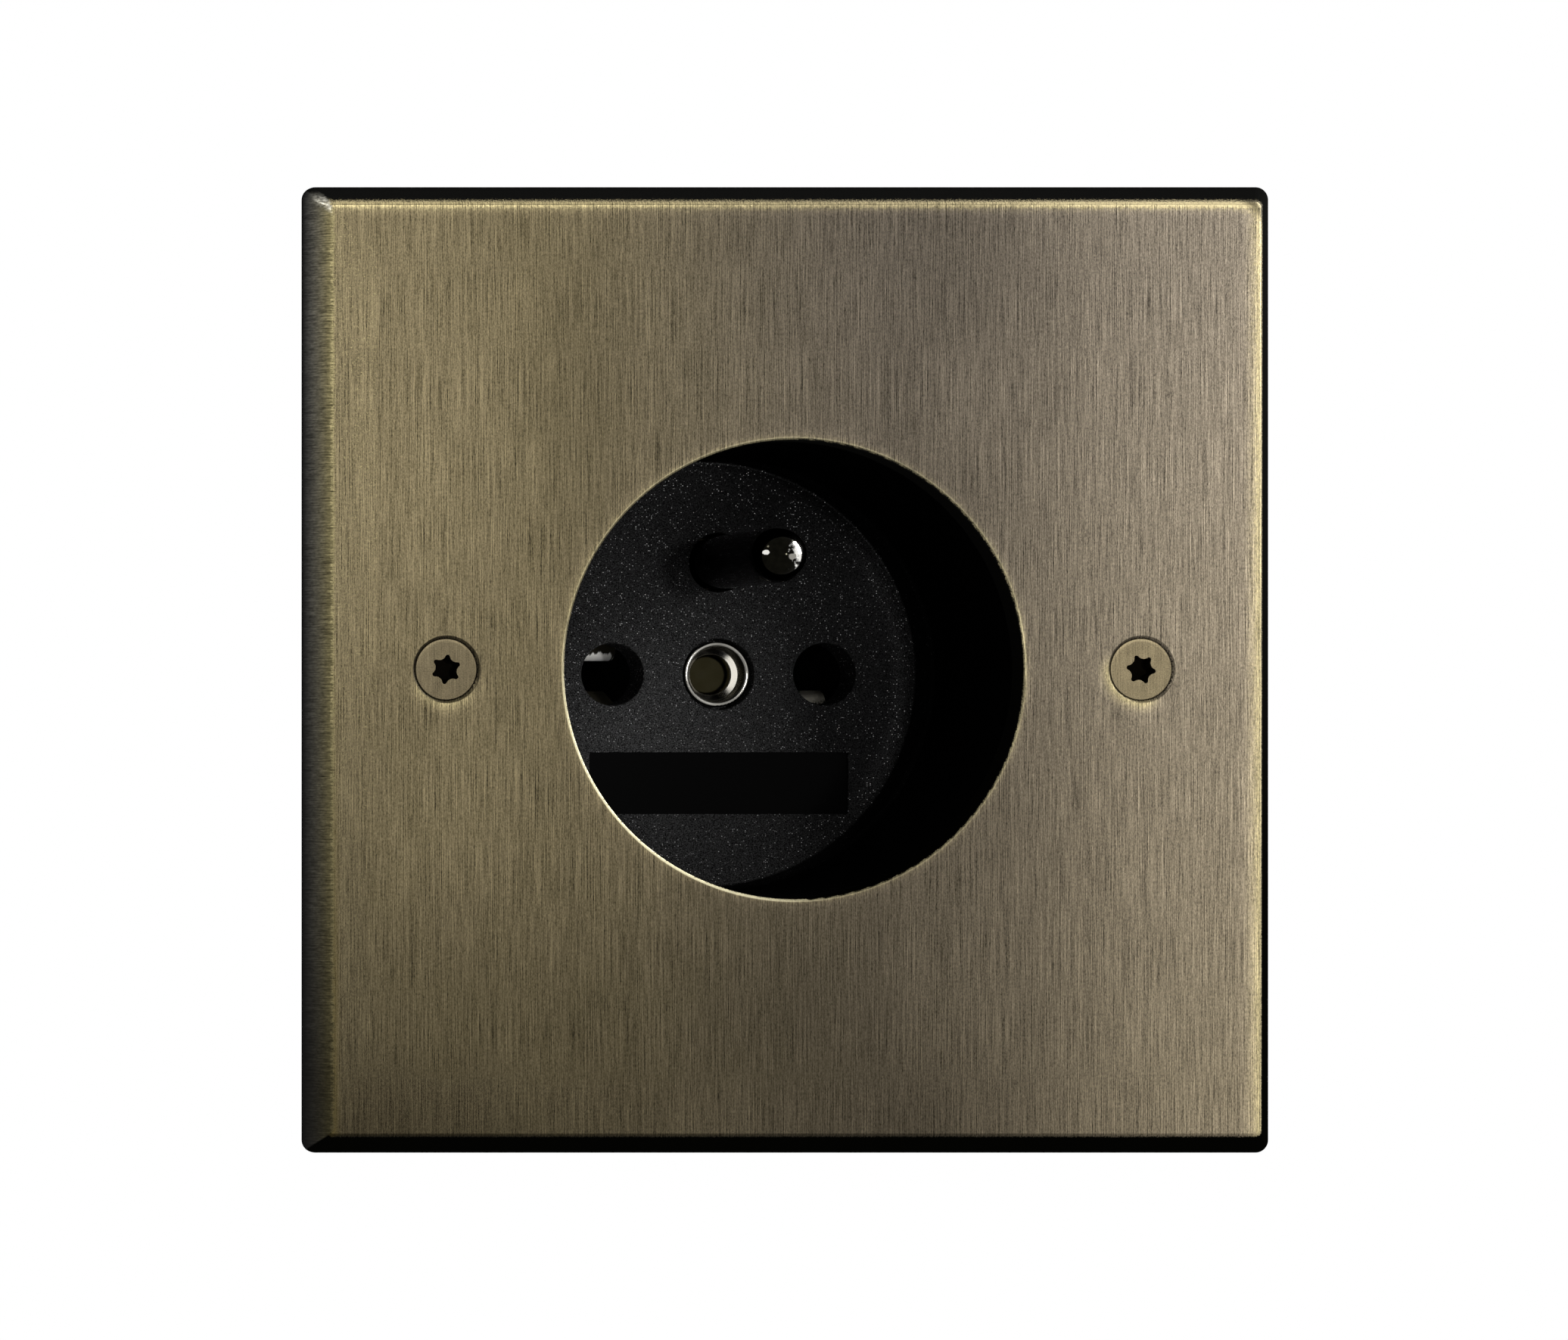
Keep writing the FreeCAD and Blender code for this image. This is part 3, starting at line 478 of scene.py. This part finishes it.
# A painted highlight on the rim of the head, strongest above.
rim = add(tree, "ShaderNodeMapRange", (away, 2.35, 2.65, 0, 1))
above = add(tree, "ShaderNodeMapRange", (z, 0.3, 2.4, 0, 1.2))
rim = add(tree, "ShaderNodeMath", (rim, above, 1), operation="MULTIPLY_ADD")
for factor in (lines, rim):
    level = add(tree, "ShaderNodeMath", (level, factor), operation="MULTIPLY")
head = add(tree, "ShaderNodeVectorMath", {0: colour("#ffe9b8")[:3], "Scale": level}, operation="SCALE")

# Painted black as shade from just below the face of the head to the end of its cone. The shank behind is
# bare.
cone_end = 3
sunk = add(tree, "ShaderNodeMapRange", (y, head_y + 0.04, head_y + 0.22, 0, 1))
in_head = add(tree, "ShaderNodeMath", (y, cone_end), operation="LESS_THAN")
sunk = add(tree, "ShaderNodeMath", (sunk, in_head), operation="MULTIPLY")
head = add(tree, "ShaderNodeMix", {0: sunk, 6: head, 7: colour("#0a0805")}, 2, data_type="RGBA")
tree.links.new(head, shader.inputs["Base Color"])
tree.links.new(add(tree, "ShaderNodeMath", (1, sunk), operation="SUBTRACT"), shader.inputs["Metallic"])
print(screws.name, "nodes", len(tree.nodes))

# %% [markdown]
# ## The insert: black plastic from a spark-eroded mould
#
# The dish is a hard black plastic. Its mould was finished by spark erosion, which leaves a dull skin
# of fine pits. Here and there a pit catches the lamp as a bright point, and that glitter is painted
# into the colour as cells, of which one in four holds a point of light, and most of those a dim one.
# Real pits are 0.02 to 0.05 mm wide. Pits and points are drawn at two to three times that, so that
# they don't vanish in a picture with 0.13 mm to a pixel. The sunk field below the holes is smooth and
# shiny. The skin takes hardly any shine. Light and shade are painted into it: it is lighter where the
# lamp falls, a painted shadow lies on the right of the floor, and the wall of the dish is painted black.

# %% Spark-eroded plastic: the skin
pit_size = 0.11
insert, tree, shader, place = material("moulded_spark_eroded_plastic", Specular_IOR_Level=0.012)
x, y, z = add(tree, "ShaderNodeSeparateXYZ", (place,)).node.outputs
# The skin is painted lighter towards the left, where the lamp falls.
across = add(tree, "ShaderNodeMath", (z, 0.25, x), operation="MULTIPLY_ADD")
painted_light_share = add(tree, "ShaderNodeMapRange", (across, 8, -9, 0, 1))
skin = add(tree, "ShaderNodeMix", {0: painted_light_share, 6: colour("#0d0d0d"), 7: colour("#232323")}, 2, data_type="RGBA")
scaled = add(tree, "ShaderNodeVectorMath", (place, [pit_size] * 3), operation="DIVIDE")
pits = add(tree, "ShaderNodeTexNoise", {"Vector": scaled, "Scale": 1, "Detail": 2, "Roughness": 0.6})
mottle = add(tree, "ShaderNodeMapRange", (pits, 0.36, 0.64, 0, 2))
skin = add(tree, "ShaderNodeVectorMath", {0: skin, "Scale": mottle}, operation="SCALE")

# It is painted palest in a broad band from the lower left to the upper right, where the lamp falls,
# and painted darker at the right and at the foot, as shade.
slanted = add(tree, "ShaderNodeMath", (x, -0.6, z), operation="MULTIPLY_ADD")
tone = add(tree, "ShaderNodeMapRange", (slanted, 14, -1, 0.78, 1.95), interpolation_type="SMOOTHSTEP")
for value, start, end, share in ((x, 6, 10, 0.72), (z, -8, -13, 0.75)):
    share = add(tree, "ShaderNodeMapRange", (value, start, end, 1, share))
    tone = add(tree, "ShaderNodeMath", (tone, share), operation="MULTIPLY")
skin = add(tree, "ShaderNodeVectorMath", {0: skin, "Scale": tone}, operation="SCALE")
print("skin set")

# %% Spark-eroded plastic: the border of the floor
# The corner between the floor and the wall is black. The lit floor ends in a circle that lies a
# little to the left: the edge of the floor, with a painted shadow from the right of the rim. Along
# this border the skin is painted paler on the right, and at the top a painted glint lies on the sharp
# edge of the floor. The wall is painted black all round, as shade.
floor_radius, painted_shadow_shift, wall_radius = 19.0, 1.4, 19.3
# The circle where the painted shadow ends is shifted to the left.
shifted = add(tree, "ShaderNodeMath", (x, painted_shadow_shift), operation="ADD")
away = add(tree, "ShaderNodeCombineXYZ", (shifted, 0, z))
away = add(tree, "ShaderNodeVectorMath", (away,), "Value", operation="LENGTH")
lit_floor_and_painted_shade = add(tree, "ShaderNodeMapRange", (away, floor_radius - 0.1, floor_radius + 0.1, 1, 0.04))
# Painted light, paler along the right of the border.
painted_border_light = add(tree, "ShaderNodeMapRange", (away, floor_radius - 2.3, floor_radius - 1.4, 0, 0.8))
at_right = add(tree, "ShaderNodeMapRange", (x, 10, 14, 0, 1))
painted_border_light = add(tree, "ShaderNodeMath", (painted_border_light, at_right), operation="MULTIPLY")
lit_floor_and_painted_shade = add(tree, "ShaderNodeMath", (lit_floor_and_painted_shade, painted_border_light, lit_floor_and_painted_shade), operation="MULTIPLY_ADD")
from_edge = add(tree, "ShaderNodeMath", (away, -1, floor_radius - 0.1), operation="MULTIPLY_ADD")
from_edge = add(tree, "ShaderNodeMath", (from_edge,), operation="ABSOLUTE")
# A painted glint on the floor's edge, strongest at the top.
painted_glint = add(tree, "ShaderNodeMapRange", (from_edge, 0.11, 0.03, 0, 1))
upper = add(tree, "ShaderNodeMapRange", (z, 6, 13, 0, 2.5))
lit_floor_and_painted_shade = add(tree, "ShaderNodeMath", (painted_glint, upper, lit_floor_and_painted_shade), operation="MULTIPLY_ADD")
from_axis = add(tree, "ShaderNodeCombineXYZ", (x, 0, z))
from_axis = add(tree, "ShaderNodeVectorMath", (from_axis,), "Value", operation="LENGTH")
# The wall is painted black, as shade.
painted_wall_shade = add(tree, "ShaderNodeMapRange", (from_axis, wall_radius - 0.1, wall_radius + 0.1, 1, 0.06))
lit_floor_and_painted_shade = add(tree, "ShaderNodeMath", (lit_floor_and_painted_shade, painted_wall_shade), operation="MULTIPLY")
print("floor radius", floor_radius, "mm")

# %% Spark-eroded plastic: the glitter
cell_size, clump_size = 0.14, 0.9
scaled = add(tree, "ShaderNodeVectorMath", (place, [cell_size] * 3), operation="DIVIDE")
cells = add(tree, "ShaderNodeTexVoronoi", {"Vector": scaled, "Scale": 1}).node.outputs
chance = add(tree, "ShaderNodeSeparateColor", (cells["Color"],))
scaled = add(tree, "ShaderNodeVectorMath", (place, [clump_size] * 3), operation="DIVIDE")
clumps = add(tree, "ShaderNodeTexNoise", {"Vector": scaled, "Scale": 1})
chance = add(tree, "ShaderNodeMath", (clumps, 0.30, chance), operation="MULTIPLY_ADD")
spark = add(tree, "ShaderNodeMapRange", (chance, 0.90, 1.14, 0, 1))
spark = add(tree, "ShaderNodeMath", (spark, 2), operation="POWER")
point = add(tree, "ShaderNodeMapRange", (cells["Distance"], 0.34, 0.12, 0, 1))
# The painted glitter is stronger on the left.
strong = add(tree, "ShaderNodeMapRange", (x, -8, 14, 1.2, 0.6))
for part in (point, strong):
    spark = add(tree, "ShaderNodeMath", (spark, part), operation="MULTIPLY")
skin = add(tree, "ShaderNodeMix", {0: spark, 6: skin, 7: colour("#cccccc")}, 2, data_type="RGBA")
skin = add(tree, "ShaderNodeVectorMath", {0: skin, "Scale": lit_floor_and_painted_shade}, operation="SCALE")
print("glitter set")

# %% Spark-eroded plastic: the smooth field
field_half, field_top, field_bottom, field_depth = 11.6, -7.0, -12.54, 13.1
on_field = add(tree, "ShaderNodeMath", (x, 0, field_half), operation="COMPARE")
for value, limit, operation in ((z, field_bottom, "GREATER_THAN"), (z, field_top, "LESS_THAN"),
                                (y, field_depth, "GREATER_THAN")):
    inside = add(tree, "ShaderNodeMath", (value, limit), operation=operation)
    on_field = add(tree, "ShaderNodeMath", (on_field, inside), operation="MULTIPLY")
skin = add(tree, "ShaderNodeMix", {0: on_field, 6: skin, 7: colour("#020202")}, 2, data_type="RGBA")
tree.links.new(skin, shader.inputs["Base Color"])
roughness = add(tree, "ShaderNodeMapRange", (on_field, 0, 1, 0.7, 0.16))
tree.links.new(roughness, shader.inputs["Roughness"])
relief = add(tree, "ShaderNodeMapRange", (on_field, 0, 1, 0.5, 0))
bump = add(tree, "ShaderNodeBump", {"Height": pits, "Strength": relief, "Distance": 0.05 * MM})
tree.links.new(bump, shader.inputs["Normal"])
print(insert.name, "nodes", len(tree.nodes))

# %% [markdown]
# ## The housing: black plastic with a satin skin
#
# The box in the wall is moulded too, from a tougher plastic in a mould that was only sandblasted.
# Nobody sees it once it is fitted, so its skin is plain: an even satin black with a soft cloud in
# it, about 9 mm across. The grain of the blasting is about 0.1 mm wide, and is drawn at a third of a
# millimetre, so that it shows.

# %% Satin plastic
housing, tree, shader, place = material("moulded_satin_plastic", Roughness=0.45, Specular_IOR_Level=0.3)
cloud = add(tree, "ShaderNodeTexNoise", {"Vector": place, "Scale": 0.11, "Detail": 3})
tint = add(tree, "ShaderNodeMix", {0: cloud, 6: colour("#1b1c1e"), 7: colour("#27282a")}, 2, data_type="RGBA")
tree.links.new(tint, shader.inputs["Base Color"])
grain = add(tree, "ShaderNodeTexNoise", {"Vector": place, "Scale": 3})
bump = add(tree, "ShaderNodeBump", {"Height": grain, "Strength": 0.5, "Distance": 0.04 * MM})
tree.links.new(bump, shader.inputs["Normal"])
print(housing.name, "nodes", len(tree.nodes))

# %% [markdown]
# ## The metals behind the plate
#
# The pin and the bush are turned brass with bright nickel on them, the contacts and the earth strap
# are strip, and the ring and its screws are zinc-plated steel. They differ in four things only:
# their two colours, the size and direction of the marks that their making left, how much those
# marks blur a reflection, and spots of painted highlight. Some are painted darker as shade, and the
# pin is painted dark for what it mirrors. A spot has a middle, a size and a colour. Turning and
# rolling marks are really 0.05 to 0.1 mm wide, and are drawn at 0.15 to 0.4 mm, so that they show.
# One table holds the metals, and one loop makes them.

# %% Metals
metals = {}
metal_rows = (
    # Polished by rolling in a drum of steel balls. It is painted black for the dark of the dish that it
    # mirrors, with painted highlights on the right of the dome, at its upper left and in its middle.
    ("polished_nickel_plating", "#020202", "#15140f", (0.5, 4, 0.5), (0.05, 0.10),
     (((2.3, -1.0, 10.4), (1.8, 6.0, 2.3), "#f0eee8"),
      ((-1.7, -1.0, 10.2), (0.2, 3.0, 0.2), "#e8e6e0"),
      ((0.3, -1.0, 9.8), (0.34, 3.0, 0.28), "#8f8c84"))),
    # Plated over the turning marks, so it shows rings. The right of the bore has a painted highlight.
    ("turned_nickel_plating", "#45433f", "#94928c", (3, 0.4, 3), (0.12, 0.24),
     (((1.9, 15.1, -0.3), (1.3, 1.4, 1.9), "#ebe6d9"),)),
    # Rolled strip, gone brown, with lines along it. Its lip has a painted highlight of dull white.
    ("rolled_phosphor_bronze", "#24221c", "#4a463a", (0.3, 8, 8), (0.8, 0.95),
     (((-9.0, 17.4, 1.45), (1.5, 3.0, 0.55), "#fdfcf8"),)),
    # The same strip painted darker as shade, and grainy. Its lip has a dimmer painted highlight.
    ("shaded_phosphor_bronze", "#100f0c", "#2b2922", (0.14, 0.14, 0.14), (0.4, 0.55),
     (((10.6, 17.4, -1.75), (1.3, 3.0, 0.7), "#8f8b80"),)),
    # Turned and left bare: dull gold rings.
    ("turned_brass", "#4f4731", "#857850", (5, 0.15, 5), (0.25, 0.42), ()),
    # Turned brass painted dark, as the shade at the foot of the bush's bore.
    ("shaded_turned_brass", "#0d0c08", "#232013", (0.8, 0.8, 0.8), (0.45, 0.6), ()),
    # Zinc crystals cloud the plating, and soften what it mirrors.
    ("zinc_plated_steel", "#9a9da3", "#c6cacf", (3, 3, 3), (0.28, 0.5), ()))
for name, dark, light, marks, blur, spots in metal_rows:
    made, tree, shader, place = material(name, Metallic=1.0)
    scaled = add(tree, "ShaderNodeVectorMath", (place, marks), operation="DIVIDE")
    noise = add(tree, "ShaderNodeTexNoise", {"Vector": scaled, "Scale": 1, "Detail": 3})
    tint = add(tree, "ShaderNodeMix", {0: noise, 6: colour(dark), 7: colour(light)}, 2, data_type="RGBA")
    for middle, size, bright in spots:
        offset = add(tree, "ShaderNodeVectorMath", (place, middle), operation="SUBTRACT")
        offset = add(tree, "ShaderNodeVectorMath", (offset, size), operation="DIVIDE")
        reach = add(tree, "ShaderNodeVectorMath", (offset,), "Value", operation="LENGTH")
        reach = add(tree, "ShaderNodeMath", (noise, 1.6, reach), operation="MULTIPLY_ADD")
        share = add(tree, "ShaderNodeMapRange", (reach, 1.95, 1.7, 0, 1))
        tint = add(tree, "ShaderNodeMix", {0: share, 6: tint, 7: colour(bright)}, 2, data_type="RGBA")
    tree.links.new(tint, shader.inputs["Base Color"])
    roughness = add(tree, "ShaderNodeMapRange", (noise, 0.3, 0.7, *blur))
    tree.links.new(roughness, shader.inputs["Roughness"])
    metals[name] = made
print(len(metals), "metals")

# %% [markdown]
# ## Dressing the CAD pieces
#
# Each piece of the CAD model gets its finish here, by the name that it has there.

# %% Finishes for the pieces
finishes = {
    brass: ["cover_plate"],
    screws: ["plate_screw_left", "plate_screw_right"],
    insert: ["socket_insert"],
    housing: ["rear_housing"],
    metals["polished_nickel_plating"]: ["earth_pin"],
    metals["turned_nickel_plating"]: ["centre_bush"],
    metals["rolled_phosphor_bronze"]: ["contact_left"],
    metals["shaded_phosphor_bronze"]: ["contact_right", "earth_strap"],
    metals["shaded_turned_brass"]: ["centre_screw"],
    metals["turned_brass"]: ["terminal_cage_left", "terminal_cage_right", "terminal_cage_earth"],
    metals["zinc_plated_steel"]: [
        "support_ring", "standoff_left", "standoff_right", "terminal_screw_left", "terminal_screw_right",
        "terminal_screw_earth", "joining_screw_lower_left", "joining_screw_upper_left",
        "joining_screw_lower_right", "joining_screw_upper_right"],
}
for finish, names in finishes.items():
    for name in names:
        nodes[name].data.materials.clear()
        nodes[name].data.materials.append(finish)
    print(finish.name, "on", len(names))

# %% [markdown]
# ## The threads of the plate screws
#
# Behind the standoffs the ends of the two plate screws stand out, and there their thread shows. A
# thread is a ridge that climbs round the shank once in each pitch. It could be modelled turn by
# turn, but it follows a rule, so Geometry Nodes make it: a small square, standing on its corner, is
# swept along a helix, and the result is set on a point at the end of each shank. The thread is an
# ordinary right-hand one with a pitch of half a millimetre. A plain spiral node winds the other way
# once it lies along the screw, so it is reversed.

# %% The thread as a node tree
thread = bpy.data.node_groups.new("screw_thread", "GeometryNodeTree")
for name, kind in (("Places", "Geometry"), ("Length", "Float"), ("Pitch", "Float"), ("Radius", "Float"),
                   ("Height", "Float"), ("Finish", "Material")):
    thread.interface.new_socket(name, in_out="INPUT", socket_type="NodeSocket" + kind)
thread.interface.new_socket("Threads", in_out="OUTPUT", socket_type="NodeSocketGeometry")
given = add(thread, "NodeGroupInput").node.outputs
turns = add(thread, "ShaderNodeMath", (given["Length"], given["Pitch"]), operation="DIVIDE")
helix = add(thread, "GeometryNodeCurveSpiral", {
    "Resolution": 32, "Rotations": turns, "Start Radius": given["Radius"], "End Radius": given["Radius"],
    "Height": given["Length"], "Reverse": True})
helix = add(thread, "GeometryNodeSetCurveNormal", {"Curve": helix}, mode="Z_UP")
square = add(thread, "GeometryNodeCurvePrimitiveCircle", {"Resolution": 4, "Radius": given["Height"]})
ridge = add(thread, "GeometryNodeCurveToMesh", {"Curve": helix, "Profile Curve": square, "Fill Caps": True})
along_y = (-math.pi / 2, 0, 0)
copies = add(thread, "GeometryNodeInstanceOnPoints", {
    "Points": given["Places"], "Instance": ridge, "Rotation": along_y})
real = add(thread, "GeometryNodeRealizeInstances", (copies,))
dressed = add(thread, "GeometryNodeSetMaterial", {"Geometry": real, "Material": given["Finish"]})
add(thread, "NodeGroupOutput", (dressed,))
print(thread.name, "nodes", len(thread.nodes))

# %% The threads on the screws
# The ridge is half sunk in the shank. It starts behind the standoff and ends short of the screw's end.
sizes = {"Length": 1.6 * MM, "Pitch": 0.5 * MM, "Radius": 1.38 * MM, "Height": 0.17 * MM, "Finish": screws}
thread_start = 5.6 * MM
places = bpy.data.meshes.new("plate_screw_threads")
places.from_pydata([(way * screw_x * MM, thread_start, 0) for way in (-1, 1)], [], [])
threads = bpy.data.objects.new("plate_screw_threads", places)
scene.collection.objects.link(threads)
modifier = threads.modifiers.new("threads", "NODES")
modifier.node_group = thread
for socket in thread.interface.items_tree:
    if socket.in_out == "INPUT" and socket.name in sizes:
        modifier[socket.identifier] = sizes[socket.name]
evaluated = threads.evaluated_get(bpy.context.evaluated_depsgraph_get())
plain = bpy.data.meshes.new_from_object(evaluated)
threads.modifiers.clear()
threads.data = plain
plain.materials.clear()
plain.materials.append(screws)
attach(threads, "root")
print("threads:", len(plain.polygons), "faces")
